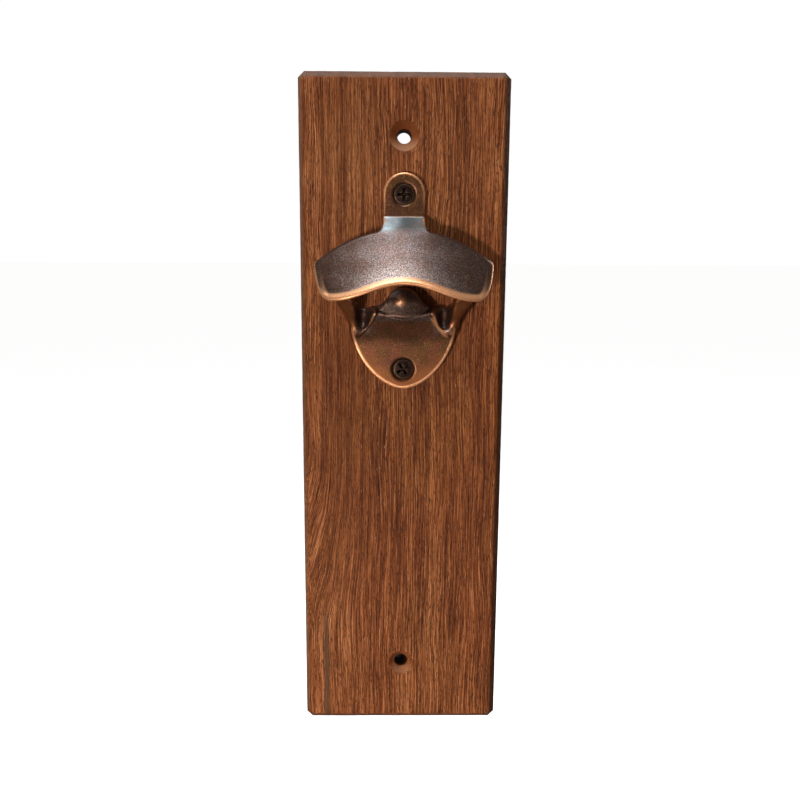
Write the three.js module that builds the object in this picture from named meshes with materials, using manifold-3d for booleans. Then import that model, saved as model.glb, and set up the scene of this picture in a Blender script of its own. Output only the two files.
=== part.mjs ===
// Wall-mounted bottle opener on a hardwood board: a chamfered plank, a one-piece cast opener with a
// hood and a lifting lip, and the two countersunk wood screws that hold the casting to the plank.
// Millimetres. +Z is up along the grain, +X is to the right, and the front looks towards -Y.
// The origin is the centre of the board's back face, which lies against the wall.
import * as THREE from 'three';
import { ConvexGeometry } from 'three/addons/geometries/ConvexGeometry.js';
import { mergeVertices } from 'three/addons/utils/BufferGeometryUtils.js';
import Module from 'manifold-3d';

const wasm = await Module();
wasm.setup();

// Board
const BOARD_WIDTH = 90;
const BOARD_HEIGHT = 296;
const BOARD_THICKNESS = 19;
const BOARD_CHAMFER = 2.7;            // 45 degree chamfer round the front face, and the clipped corners
const FACE_CORNER_CUT = 1.1;          // what is left of the clipped corners on the front face
const PILOT_CLEARANCE = 0.3;          // round the screw's thread, in radius
const WALL_HOLE_BORE = 6;             // diameters
const UPPER_HOLE = { fromTop: 26.2, countersink: 13 };
const LOWER_HOLE = { fromBottom: 29.2, countersink: 11.5 };

// Opener. Its own height scale starts at the shoulder line, where the neck meets the hood.
const SHOULDER_Z = 83;                // above the board's centre
const CONTACT_GAP = 0.1;              // clearance kept between touching pieces
const CASTING_THICKNESS = 3;
const TAB_HALF_WIDTH = 8.8;
const TAB_END_Z = 14.7;               // centre of the tab's round end
const NECK_TOP_Z = 5.2;
const NECK_SLOPE = 1.56;
const HOOD_CENTRE_RISE = 13;          // how far the hood stands off the board at the shoulder line
const HOOD_SLOPE = 0.64;
const HOOD_SIDE_FALL = 0.0088;        // per millimetre squared from the centre line
const HOOD_TOP_RADIUS = 58;
const RIM_CENTRE_Z = -22;
const RIM_DROP = 7;                   // from the middle of the rim's arch to its low points
const RIM_LOW_X = 30.5;
const HOOD_END = { x: 37.8, z: -15.6 };        // where the side of the hood turns into its top corner
const HOOD_CORNER = { x: 36.2, z: -12.8 };
const NECK_FILLET = { x: 12, z: 2.6 };         // reach of the curve from the hood's top to the neck
const PLATE_HALF_WIDTH = 22.4;
const PLATE_SHOULDER_Z = -42;
const PLATE_BOTTOM_Z = -68.9;
const PLATE_EXPONENT = 1.75;          // the plate's U outline is a superellipse
const LIP_HEIGHT = 11;
const LIP_CENTRE_Z = -37.6;
const LIP_TIP_X = 12;
const LIP_TIP_RISE = 4;
const APRON_FOOT_Z = -51;
const TONGUE_SLOPE = 0.52;            // fall per millimetre from the lip's ridge to the tongue's top
const TONGUE_TOP_Z = -25.2;
const LEG_FOOT_Z = -44;
const LEG_SLOPE = 0.8;
const LEG_TOP = { inner: 22, outer: 31.5, z: -20.5 };
const LEG_OUTER = { x: 28.6, z: -31 };         // end of the leg's outward flare
const LEG_INNER_X = 14.5;
const LEG_FULL_X = 19.5;
const LEG_DEPTH = 4.4;
const WINDOW_CORNER = { x: 18.8, z: -32.3 };   // lower outer corner of the opening behind the lip
const WEB_END = { x: 17, z: -33.9 };
const APRON_SPREAD = 0.36;            // how fast the apron widens below the lip's tips
const UPPER_SCREW_Z = 14.5;
const LOWER_SCREW_Z = -60.5;

// Screws
const HEAD_DIAMETER = 9;
const HEAD_SINK = 0.25;               // how far the head lies below the casting's surface
const SEAT_DIAMETER = 10.2;
const SHANK_ROOT = 3;
const SHANK_CREST = 4.4;
const SCREW_LENGTH = 16;
const THREAD_PITCH = 2;
const TIP_LENGTH = 4;
const RECESS_SPAN = 5.4;
const RECESS_ARM = 1.15;
const HEAD_LAND = 0.15;               // straight edge of the head above its cone
const RECESS_DEPTH = 2;
const LOWER_RECESS_TURN = 0.6;        // radians; the upper screw stopped with its cross upright

const wood = new THREE.MeshStandardMaterial({ color: 0x7a4b2f, roughness: 0.6, metalness: 0 });
const copper = new THREE.MeshStandardMaterial({ color: 0x7b5a48, roughness: 0.38, metalness: 1 });
const darkSteel = new THREE.MeshStandardMaterial({ color: 0x221c19, roughness: 0.45, metalness: 0.9 });

function toSolid(geometry) {
  const bare = geometry.clone();
  bare.deleteAttribute('normal');
  bare.deleteAttribute('uv');
  const merged = mergeVertices(bare, 1e-4);
  return new wasm.Manifold(new wasm.Mesh({
    numProp: 3,
    vertProperties: new Float32Array(merged.attributes.position.array),
    triVerts: new Uint32Array(merged.index.array),
  }));
}

function toGeometry(solid) {
  const mesh = solid.getMesh();
  const geometry = new THREE.BufferGeometry();
  geometry.setAttribute('position', new THREE.BufferAttribute(new Float32Array(mesh.vertProperties), 3));
  geometry.setIndex(new THREE.BufferAttribute(new Uint32Array(mesh.triVerts), 1));
  geometry.computeVertexNormals();
  return geometry;
}

function smoothstep(low, high, value) {
  const t = Math.min(1, Math.max(0, (value - low) / (high - low)));
  return t * t * (3 - 2 * t);
}

// Turns a lathe made round +Y so that its axis is the board's thickness, with +Y of the profile
// pointing out of the front.
function facingFront(profile, segments) {
  const geometry = new THREE.LatheGeometry(profile, segments);
  geometry.rotateX(Math.PI);
  return geometry;
}

// Extrudes an outline drawn in X and Z through the thickness, from depthStart to depthEnd out of the
// front.
function prism(shape, depthStart, depthEnd) {
  const geometry = new THREE.ExtrudeGeometry(shape, { depth: depthEnd - depthStart, bevelEnabled: false });
  geometry.translate(0, 0, depthStart);
  geometry.rotateX(Math.PI / 2);
  return geometry;
}

// A cutter for a countersunk hole whose mouth is in the plane y = 0, open towards -Y.
function countersunkHole(boreDiameter, mouthDiameter, depth) {
  const bore = boreDiameter / 2;
  const mouth = mouthDiameter / 2;
  const profile = [
    new THREE.Vector2(0, -depth),
    new THREE.Vector2(bore, -depth),
    new THREE.Vector2(bore, bore - mouth),
    new THREE.Vector2(mouth, 0),
    new THREE.Vector2(mouth, 2),
    new THREE.Vector2(0, 2),
  ];
  return facingFront(profile, 32);
}

function clippedRectangle(halfWidth, halfHeight, cut, y) {
  const corners = [];
  for (const [sx, sz] of [[1, 1], [-1, 1], [-1, -1], [1, -1]]) {
    corners.push(new THREE.Vector3(sx * halfWidth, y, sz * (halfHeight - cut)));
    corners.push(new THREE.Vector3(sx * (halfWidth - cut), y, sz * halfHeight));
  }
  return corners;
}

function woodenBoard() {
  const halfWidth = BOARD_WIDTH / 2;
  const halfHeight = BOARD_HEIGHT / 2;
  const inset = BOARD_CHAMFER;
  const points = [
    ...clippedRectangle(halfWidth, halfHeight, inset, 0),
    ...clippedRectangle(halfWidth, halfHeight, inset, inset - BOARD_THICKNESS),
    ...clippedRectangle(halfWidth - inset, halfHeight - inset, FACE_CORNER_CUT, -BOARD_THICKNESS),
  ];
  let board = toSolid(new ConvexGeometry(points));
  const wallHoles = [
    [halfHeight - UPPER_HOLE.fromTop, UPPER_HOLE.countersink],
    [LOWER_HOLE.fromBottom - halfHeight, LOWER_HOLE.countersink],
  ];
  for (const [z, countersink] of wallHoles) {
    const cutter = countersunkHole(WALL_HOLE_BORE, countersink, BOARD_THICKNESS + 2);
    cutter.translate(0, -BOARD_THICKNESS, z);
    board = board.subtract(toSolid(cutter));
  }
  for (const z of [UPPER_SCREW_Z, LOWER_SCREW_Z]) {
    board = board.subtract(toSolid(pilotHole().translate(0, -BOARD_THICKNESS, SHOULDER_Z + z)));
  }
  return toGeometry(board);
}

// A blind hole that clears the screw's thread, with a drilled point.
function pilotHole() {
  const radius = SHANK_CREST / 2 + PILOT_CLEARANCE;
  const depth = SCREW_LENGTH - CASTING_THICKNESS + 0.5;
  const profile = [
    new THREE.Vector2(0, -depth),
    new THREE.Vector2(radius, radius - depth),
    new THREE.Vector2(radius, 2),
    new THREE.Vector2(0, 2),
  ];
  return facingFront(profile, 24);
}

function mirroredShape(rightHalf) {
  const leftHalf = rightHalf
    .filter((point) => point.x > 1e-6)
    .map((point) => new THREE.Vector2(-point.x, point.y))
    .reverse();
  return new THREE.Shape([...rightHalf, ...leftHalf]);
}

// Right half of the outline of tab, neck and hood, from the middle of the rim up to the tab's top.
function upperOutline() {
  const path = new THREE.Path();
  const rimSteps = 10;
  path.moveTo(0, RIM_CENTRE_Z);
  for (let i = 1; i <= rimSteps; i += 1) {
    const x = (RIM_LOW_X * i) / rimSteps;
    path.lineTo(x, RIM_CENTRE_Z - (RIM_DROP / 2) * (1 - Math.cos((Math.PI * x) / RIM_LOW_X)));
  }
  path.bezierCurveTo(35.2, -29, 37.2, -21.5, HOOD_END.x, HOOD_END.z);
  path.quadraticCurveTo(38, -13.8, HOOD_CORNER.x, HOOD_CORNER.z);
  const topSteps = 6;
  for (let i = 1; i <= topSteps; i += 1) {
    const x = HOOD_CORNER.x + ((NECK_FILLET.x - HOOD_CORNER.x) * i) / topSteps;
    const sagitta = HOOD_TOP_RADIUS - Math.sqrt(HOOD_TOP_RADIUS ** 2 - x ** 2);
    path.lineTo(x, -0.15 - sagitta);
  }
  path.quadraticCurveTo(9.3, -0.9, TAB_HALF_WIDTH, NECK_FILLET.z);
  path.lineTo(TAB_HALF_WIDTH, TAB_END_Z);
  path.absarc(0, TAB_END_Z, TAB_HALF_WIDTH, 0, Math.PI / 2, false);
  return mirroredShape(path.getPoints(8));
}

// Height of the front of tab, neck and hood above the board.
function upperHeight(x, z) {
  const neck = CASTING_THICKNESS + NECK_SLOPE * Math.max(0, NECK_TOP_Z - z);
  const hood = HOOD_CENTRE_RISE - HOOD_SLOPE * (Math.min(z, 0) + 1) - HOOD_SIDE_FALL * x * x;
  const blend = 1.5;
  const overlap = Math.max(0, blend - Math.abs(neck - hood)) / blend;
  return Math.min(neck, hood) - (overlap * overlap * blend) / 4;
}

function upperBack(x, z) {
  const step = 0.5;
  const slopeX = (upperHeight(x + step, z) - upperHeight(x - step, z)) / (2 * step);
  const slopeZ = (upperHeight(x, z + step) - upperHeight(x, z - step)) / (2 * step);
  const depth = CASTING_THICKNESS * Math.sqrt(1 + slopeX * slopeX + slopeZ * slopeZ);
  return Math.max(0, upperHeight(x, z) - depth);
}

// Right half of the outline of plate, legs and tongue, from the plate's bottom to the tongue's top.
function lowerOutline() {
  const path = new THREE.Path();
  const depth = PLATE_SHOULDER_Z - PLATE_BOTTOM_Z;
  const steps = 16;
  path.moveTo(0, PLATE_BOTTOM_Z);
  for (let i = 1; i <= steps; i += 1) {
    const angle = (Math.PI / 2) * (i / steps);
    const x = PLATE_HALF_WIDTH * Math.sin(angle) ** (2 / PLATE_EXPONENT);
    path.lineTo(x, PLATE_SHOULDER_Z - depth * Math.cos(angle) ** (2 / PLATE_EXPONENT));
  }
  path.bezierCurveTo(23.2, -38.6, 25.2, -34.4, LEG_OUTER.x, LEG_OUTER.z);
  path.lineTo(LEG_TOP.outer, LEG_TOP.z);
  path.lineTo(LEG_TOP.inner, LEG_TOP.z);
  path.bezierCurveTo(20, -26, WINDOW_CORNER.x, -29, WINDOW_CORNER.x, WINDOW_CORNER.z);
  path.quadraticCurveTo(18.6, -33.8, WEB_END.x, WEB_END.z);
  path.lineTo(LIP_TIP_X, LIP_CENTRE_Z + LIP_TIP_RISE);
  path.bezierCurveTo(8, -31, 6, TONGUE_TOP_Z, 0, TONGUE_TOP_Z);
  return mirroredShape(path.getPoints(6));
}

// Height of the front of plate, apron, lip, tongue and legs above the board.
function lowerHeight(x, z) {
  const side = Math.abs(x);
  const ridge = LIP_CENTRE_Z + LIP_TIP_RISE * (x / LIP_TIP_X) ** 2;
  const apronEdge = LIP_TIP_X + 0.5 + APRON_SPREAD * Math.max(0, LIP_CENTRE_Z + LIP_TIP_RISE - z);
  const apron = (LIP_HEIGHT - CASTING_THICKNESS) * smoothstep(APRON_FOOT_Z, ridge, z);
  const across = 1 - smoothstep(apronEdge - 1.5, apronEdge + 2.5, side);
  const behind = TONGUE_SLOPE * Math.max(0, z - ridge);
  const lip = (apron - behind) * across;
  const rise = LEG_SLOPE * Math.max(0, z - LEG_FOOT_Z) * smoothstep(LEG_INNER_X, LEG_FULL_X, side);
  return CASTING_THICKNESS + Math.max(lip, rise);
}

function legHeight(x, z) {
  return Math.min(lowerHeight(x, z), Math.max(CASTING_THICKNESS, upperHeight(x, z) - 1));
}

function lowerBack(x, z) {
  const open = smoothstep(LEG_INNER_X, LEG_FULL_X - 1, Math.abs(x));
  return open * Math.max(0, legHeight(x, z) - LEG_DEPTH);
}

// A closed slab over an outline, between a front and a back height above the board.
function castSheet(outline, frontHeight, backHeight, cell) {
  const bounds = new THREE.Box2().setFromPoints(outline.getPoints());
  const size = bounds.getSize(new THREE.Vector2()).addScalar(2);
  const centre = bounds.getCenter(new THREE.Vector2());
  const columns = 2 * Math.round(size.x / cell / 2);
  const rows = Math.round(size.y / cell);
  const slab = new THREE.BoxGeometry(size.x, 1, size.y, columns, 1, rows);
  slab.translate(centre.x, 0, centre.y);
  const position = slab.attributes.position;
  for (let i = 0; i < position.count; i += 1) {
    const x = position.getX(i);
    const z = position.getZ(i);
    const height = position.getY(i) < 0 ? frontHeight(x, z) : backHeight(x, z);
    position.setY(i, -height);
  }
  return toSolid(slab).intersect(toSolid(prism(outline, -2, 40)));
}

function openerCasting() {
  const upper = castSheet(upperOutline(), upperHeight, upperBack, 2.2);
  const lower = castSheet(lowerOutline(), legHeight, lowerBack, 1.45);
  let casting = upper.add(lower);
  for (const z of [UPPER_SCREW_Z, LOWER_SCREW_Z]) {
    const seat = countersunkHole(SHANK_CREST + 0.8, SEAT_DIAMETER, CASTING_THICKNESS + 2);
    seat.translate(0, -CASTING_THICKNESS, z);
    casting = casting.subtract(toSolid(seat));
  }
  const geometry = toGeometry(casting);
  geometry.translate(0, -BOARD_THICKNESS - CONTACT_GAP, SHOULDER_Z);
  return geometry;
}

// A countersunk wood screw along +Y, tip at the bottom, with the top of its head in the plane y = 0.
function screwProfile() {
  const head = HEAD_DIAMETER / 2;
  const root = SHANK_ROOT / 2;
  const neckDepth = head - root;
  const profile = [new THREE.Vector2(0, -SCREW_LENGTH)];
  const rowHeight = THREAD_PITCH / 4;
  const rows = Math.floor((SCREW_LENGTH - neckDepth - 1) / rowHeight);
  for (let i = 1; i <= rows; i += 1) {
    const up = i * rowHeight;
    profile.push(new THREE.Vector2(root * Math.min(1, 0.25 + (0.75 * up) / TIP_LENGTH), up - SCREW_LENGTH));
  }
  profile.push(new THREE.Vector2(root, -neckDepth - HEAD_LAND));
  profile.push(new THREE.Vector2(head, -HEAD_LAND));
  profile.push(new THREE.Vector2(head - 0.1, 0));
  profile.push(new THREE.Vector2(0, 0));
  return profile;
}

function countersunkScrew(recessTurn) {
  const geometry = new THREE.LatheGeometry(screwProfile(), 20);
  const position = geometry.attributes.position;
  const threadTop = -(HEAD_DIAMETER - SHANK_ROOT) / 2 - 1.2;
  for (let i = 0; i < position.count; i += 1) {
    const x = position.getX(i);
    const y = position.getY(i);
    const z = position.getZ(i);
    const radius = Math.hypot(x, z);
    if (y < threadTop && radius > 0.01) {
      const turn = y / THREAD_PITCH - Math.atan2(z, x) / (2 * Math.PI);
      const phase = turn - Math.floor(turn);
      const crest = Math.max(0, 1 - Math.abs(phase - 0.5) * 4);
      const depth = ((SHANK_CREST - SHANK_ROOT) / 2) * Math.min(1, (y + SCREW_LENGTH) / TIP_LENGTH);
      const scale = (radius + depth * crest) / radius;
      position.setX(i, x * scale);
      position.setZ(i, z * scale);
    }
  }
  const cut = toSolid(crossRecess().rotateY(recessTurn));
  const screw = toGeometry(toSolid(geometry).subtract(cut));
  screw.rotateX(Math.PI);
  return screw;
}

// A cross whose arms taper towards the bottom, sunk from the plane y = 0 along -Y.
function crossRecess() {
  const half = RECESS_SPAN / 2;
  const arm = RECESS_ARM / 2;
  const outline = [];
  for (let quarter = 0; quarter < 4; quarter += 1) {
    const centre = new THREE.Vector2(0, 0);
    const turn = (quarter * Math.PI) / 2;
    outline.push(new THREE.Vector2(half, -arm).rotateAround(centre, turn));
    outline.push(new THREE.Vector2(half, arm).rotateAround(centre, turn));
    outline.push(new THREE.Vector2(arm, arm).rotateAround(centre, turn));
  }
  const depth = RECESS_DEPTH + 1;
  const geometry = new THREE.ExtrudeGeometry(new THREE.Shape(outline), { depth, bevelEnabled: false });
  const position = geometry.attributes.position;
  for (let i = 0; i < position.count; i += 1) {
    const taper = position.getZ(i) > 0 ? 0.4 : 1.15;
    position.setX(i, position.getX(i) * taper);
    position.setY(i, position.getY(i) * taper);
  }
  geometry.rotateX(Math.PI / 2);
  geometry.translate(0, 1, 0);
  return geometry;
}

function namedMesh(name, geometry, material) {
  const mesh = new THREE.Mesh(geometry, material);
  mesh.name = name;
  return mesh;
}

function placedScrew(name, z, recessTurn) {
  const mesh = namedMesh(name, countersunkScrew(recessTurn), darkSteel);
  const surface = BOARD_THICKNESS + CONTACT_GAP + CASTING_THICKNESS;
  mesh.position.set(0, HEAD_SINK - surface, SHOULDER_Z + z);
  return mesh;
}

const group = new THREE.Group();
group.add(namedMesh('wooden_board', woodenBoard(), wood));
group.add(namedMesh('opener_casting', openerCasting(), copper));
group.add(placedScrew('upper_screw', UPPER_SCREW_Z, 0));
group.add(placedScrew('lower_screw', LOWER_SCREW_Z, LOWER_RECESS_TURN));

export default group;
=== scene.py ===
import math

import bmesh
import bpy
import numpy as np
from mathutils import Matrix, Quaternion, Vector, noise


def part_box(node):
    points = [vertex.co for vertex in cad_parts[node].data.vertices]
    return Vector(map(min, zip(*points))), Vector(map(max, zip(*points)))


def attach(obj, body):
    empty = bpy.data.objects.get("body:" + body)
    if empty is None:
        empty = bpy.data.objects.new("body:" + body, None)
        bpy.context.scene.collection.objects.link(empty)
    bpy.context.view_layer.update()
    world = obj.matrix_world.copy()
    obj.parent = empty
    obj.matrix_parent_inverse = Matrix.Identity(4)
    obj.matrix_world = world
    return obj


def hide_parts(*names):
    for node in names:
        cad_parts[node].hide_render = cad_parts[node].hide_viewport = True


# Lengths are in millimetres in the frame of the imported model, and each mesh is made in metres.
MM = 0.001

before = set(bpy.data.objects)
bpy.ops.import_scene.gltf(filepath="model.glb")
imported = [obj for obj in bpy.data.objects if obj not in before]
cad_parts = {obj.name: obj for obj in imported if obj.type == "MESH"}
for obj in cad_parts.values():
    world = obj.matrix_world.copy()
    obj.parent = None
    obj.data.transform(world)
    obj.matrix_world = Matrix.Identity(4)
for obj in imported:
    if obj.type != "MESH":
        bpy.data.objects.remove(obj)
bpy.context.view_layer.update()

# -------------------------------- board: driving dimensions
board_low, board_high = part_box("wooden_board")
HALF_WIDTH = board_high.x / MM
HALF_HEIGHT = board_high.z / MM
THICKNESS = -board_low.y / MM
CHAMFER = 2.7
FRONT_INSET = CHAMFER + 0.35
BACK_EASE = 0.3
BORE_RADIUS = 3.0
BORE_END_RADIUS = BORE_RADIUS + 0.3
# For each wall hole: its height, the radius of its mouth, and how strong the painted light and shade in it
# are.
WALL_HOLES = ((HALF_HEIGHT - 26.2, 6.5, 0.75), (29.2 - HALF_HEIGHT, 5.75, 0.4))
# The grid of a face has a square patch round each hole, 2 * PATCH wide, and cells of about CELL elsewhere.
PATCH = 9.0
PATCH_CELLS = 16
PATCH_SQUARENESS = (0.75, 0.5, 0.25, 0.1)
CELL = 1.11
EDGE_STRIP = 5.0
# How deep the edges of the board are worn: everywhere, and in its nicks.
BROAD_WEAR = 0.1
NICK_WEAR = 0.16

# -------------------------------- casting: driving dimensions
# Its own frame has z = 0 at the shoulder line, where the neck meets the hood, and h out of the board.
TAB_HALF_WIDTH = 8.8
TAB_END_Z = 14.7
UPPER_SCREW_Z = 14.5
LOWER_SCREW_Z = -60.5
screw_low, screw_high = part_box("upper_screw")
SHOULDER_Z = (screw_low.z + screw_high.z) / 2 / MM - UPPER_SCREW_Z
CASTING_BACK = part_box("opener_casting")[1].y / MM
SHEET = 3.0
BACK_ROUNDING = 0.2
NECK_TOP_Z = 5.2
NECK_SLOPE = 1.56
HOOD_RISE = 13.0
HOOD_SLOPE = 0.64
HOOD_SIDE_FALL = 0.0088
HOOD_TOP_RADIUS = 58.0
RIM_CENTRE_Z = -22.0
RIM_DROP = 7.0
RIM_LOW_X = 30.5
PLATE_HALF_WIDTH = 22.4
PLATE_SHOULDER_Z = -42.0
PLATE_BOTTOM_Z = -68.9
PLATE_EXPONENT = 1.75
WEB_TOP_Z = -33.9
LIP_HEIGHT = 11.0
LIP_CENTRE_Z = -37.6
LIP_TIP_X = 12.0
LIP_TIP_RISE = 4.0
APRON_FOOT_Z = -51.0
CREASE_X = 11.4
CREASE_TOP_Z = -35.6
CREASE_STEP = 1.0
APRON_DISH = 3.0
TONGUE_HEIGHT = 10.5
TONGUE_SLOPE = 0.16
TONGUE_TURN_Z = -31.0
TONGUE_FALL = 0.11
TONGUE_SIDE_FALL = 0.012
PIP_X = -0.9
PIP_Z = -29.8
PIP_HEIGHT = 0.9
PIP_SPREAD = 2 * 1.25 ** 2
# Spread of the painted highlight on the pip.
PIP_HIGHLIGHT_SPREAD = 2.8
LEG_FOOT_Z = -44.0
LEG_SLOPE = 0.8
LEG_TOP_Z = -20.5
LEG_THICKNESS = 4.0
LEG_INNER_X = 19.6
# The pocket between lip and leg is cut by an ellipsoid, with its radii across, along z and out of the board.
SCOOP_X = 17.5
SCOOP_Z = -35.5
SCOOP_HEIGHT = 8.0
SCOOP_RADII = (2.9, 6.8, 5.6)
SEAT_RADIUS = 5.15
SEAT_BACK_RADIUS = 2.1
SCREW_HOLE_RADIUS = 2.6
CASTING_STEP = 0.38
# Distances from a surface at which the room above it is measured, to find how sheltered it is.
SHELTER_REACHES = (1.5, 3.0, 5.0, 8.0)
# Turns a difference in radius or height at a 45 degree cone into a distance from it.
CONE_SCALE = 0.7071

# -------------------------------- screws
SCREW_TOP = CASTING_BACK - screw_low.y / MM
SCREW_LENGTH = (screw_high.y - screw_low.y) / MM
HEAD_RADIUS = 4.5
HEAD_LAND = 0.15
ROOT_RADIUS = 1.5
CREST_RADIUS = 2.2
THREAD_PITCH = 2.0
TIP_LENGTH = 4.0
RECESS_SPAN = 2.7
RECESS_ARM = 0.58
RECESS_DEPTH = 2.0
LOWER_RECESS_TURN = 0.6
PILOT_RADIUS = CREST_RADIUS + 0.3
SCREW_STEP = 0.14


def smooth_max(a, b, radius):
    overlap = np.maximum(radius - np.abs(a - b), 0)
    return np.maximum(a, b) + overlap * overlap / (4 * radius)


def smooth_min(a, b, radius):
    return -smooth_max(-a, -b, radius)


def smoothstep(low, high, value):
    t = np.clip((value - low) / (high - low), 0, 1)
    return t * t * (3 - 2 * t)


def bezier(points, steps):
    """Points on a Bezier curve of any degree, without its first one."""
    made = []
    for i in range(1, steps + 1):
        level = [np.array(p, float) for p in points]
        while len(level) > 1:
            level = [a + (b - a) * (i / steps) for a, b in zip(level, level[1:])]
        made.append(level[0])
    return made


def mirrored(right_half):
    """A closed outline from its right half, which runs from the bottom to the top of the centre line."""
    left_half = [np.array((-p[0], p[1])) for p in reversed(right_half) if p[0] > 1e-6]
    return np.array([*right_half, *left_half])


def new_mesh(name, vertices, faces):
    mesh = bpy.data.meshes.new(name)
    mesh.from_pydata([tuple(v) for v in vertices], [], [tuple(f) for f in faces])
    mesh.update()
    mesh.shade_smooth()
    obj = bpy.data.objects.new(name, mesh)
    bpy.context.scene.collection.objects.link(obj)
    return obj


# -------------------------------- casting: outlines
def upper_outline():
    """Tab, neck and hood, seen from the front."""
    points = []
    for x in np.linspace(0, RIM_LOW_X, 24):
        points.append(np.array((x, RIM_CENTRE_Z - RIM_DROP / 2 * (1 - math.cos(math.pi * x / RIM_LOW_X)))))
    points += bezier([points[-1], (35.2, -29), (37.2, -21.5), (37.8, -15.6)], 12)
    points += bezier([points[-1], (38, -13.8), (36.2, -12.8)], 6)
    for x in np.linspace(36.2, 12, 14)[1:]:
        points.append(np.array((x, -0.15 - HOOD_TOP_RADIUS + math.sqrt(HOOD_TOP_RADIUS ** 2 - x ** 2))))
    points += bezier([points[-1], (9.3, -0.9), (TAB_HALF_WIDTH, 2.6)], 8)
    for angle in np.linspace(0, math.pi / 2, 14):
        across = TAB_HALF_WIDTH * math.cos(angle)
        points.append(np.array((across, TAB_END_Z + TAB_HALF_WIDTH * math.sin(angle))))
    return mirrored(points)


def plate_outline():
    """Lower plate and legs, seen from the front, up to where the legs go behind the hood."""
    points = []
    depth = PLATE_SHOULDER_Z - PLATE_BOTTOM_Z
    power = 2 / PLATE_EXPONENT
    for angle in np.linspace(0, math.pi / 2, 32):
        x = PLATE_HALF_WIDTH * math.sin(angle) ** power
        points.append(np.array((x, PLATE_SHOULDER_Z - depth * max(math.cos(angle), 0) ** power)))
    points += bezier([points[-1], (23.2, -38.6), (25.2, -34.4), (28.6, -31)], 12)
    points += [np.array((31.5, LEG_TOP_Z)), np.array((22, LEG_TOP_Z))]
    points += bezier([points[-1], (20, -26), (18.8, -29), (18.8, -32.3)], 8)
    points += bezier([points[-1], (18.6, -33.8), (17, WEB_TOP_Z)], 4)
    points += [np.array((0, WEB_TOP_Z))]
    return mirrored(points)


def tongue_outline():
    """The bell-shaped tongue behind the lip."""
    points = [np.array((0.0, -40.0)), np.array((13.4, -40.0)), np.array((13.4, -34.2))]
    points += bezier([points[-1], (10.6, -32.6), (8.2, -31.4), (6.4, -28.2)], 8)
    points += bezier([points[-1], (4.8, -25.0), (0, -24.9)], 8)
    return mirrored(points)


def outline_distance(x, z, outline):
    """Distance in the board's plane to a closed outline, negative inside it."""
    x, z = np.broadcast_arrays(x, z)
    best = np.full(x.shape, np.inf)
    inside = np.zeros(x.shape, bool)
    for (ax, az), (bx, bz) in zip(outline, np.roll(outline, -1, axis=0)):
        ex, ez = bx - ax, bz - az
        t = np.clip(((x - ax) * ex + (z - az) * ez) / (ex * ex + ez * ez), 0, 1)
        best = np.minimum(best, (x - ax - t * ex) ** 2 + (z - az - t * ez) ** 2)
        if az != bz:
            inside ^= ((az > z) != (bz > z)) & (x < ax + ex * (z - az) / ez)
    return np.where(inside, -1, 1) * np.sqrt(best)


# -------------------------------- casting: signed distance
def hood_front(x, z):
    """Height of the front of tab, neck and hood above the board."""
    neck = SHEET + NECK_SLOPE * smooth_max(NECK_TOP_Z - z, 0 * z, 0.7)
    hood = HOOD_RISE - HOOD_SLOPE * (np.minimum(z, 0) + 1) - HOOD_SIDE_FALL * x * x
    return smooth_min(neck, hood, 2.0)


def slope_scale(height, x, z):
    """What turns a height above a surface into a distance from it."""
    step = 0.1
    along_x = (height(x + step, z) - height(x - step, z)) / (2 * step)
    along_z = (height(x, z + step) - height(x, z - step)) / (2 * step)
    return 1 / np.sqrt(1 + along_x ** 2 + along_z ** 2)


def flat_backed(field, h):
    """A field cut off at the board's front face."""
    return smooth_max(field, -h, BACK_ROUNDING)


def upper_field(x, z, h, above_hood):
    """Tab, neck and hood: a sheet of even thickness with eased edges, and a rolled bead along the rim."""
    hood_edge = outline_distance(x, z, upper_outline())
    sheet = smooth_max(above_hood, -above_hood - SHEET, 0.5)
    sheet = flat_backed(sheet, h)
    edge_radius = 0.5 + 0.6 * smoothstep(2, -4, z)
    sheet = smooth_max(sheet, hood_edge, edge_radius)
    bead_radius = (0.5 + 1.05 * smoothstep(36, 29, np.abs(x))) * smoothstep(-12, -19, z)
    bead_h = above_hood + 0.5 + 0.3 * smoothstep(34, 30, np.abs(x))
    bead = np.sqrt((hood_edge + bead_radius - 0.25) ** 2 + bead_h ** 2) - bead_radius
    return smooth_min(sheet, bead, 0.6)


def ridge_line(tip):
    """Height up the board of the lip's ridge, from its middle (tip 0) to its tips (tip 1)."""
    return LIP_CENTRE_Z + LIP_TIP_RISE * tip ** 1.6


def crease_line(z):
    """Distance from the centre line at which the apron steps up towards the legs."""
    below_tip = np.maximum(CREASE_TOP_Z - z, 0)
    return CREASE_X + 0.42 * below_tip + 0.03 * below_tip ** 2


def near_pip(x, z, spread):
    """A bell curve round the pip."""
    return np.exp(-((x - PIP_X) ** 2 + (z - PIP_Z) ** 2) / spread)


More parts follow.
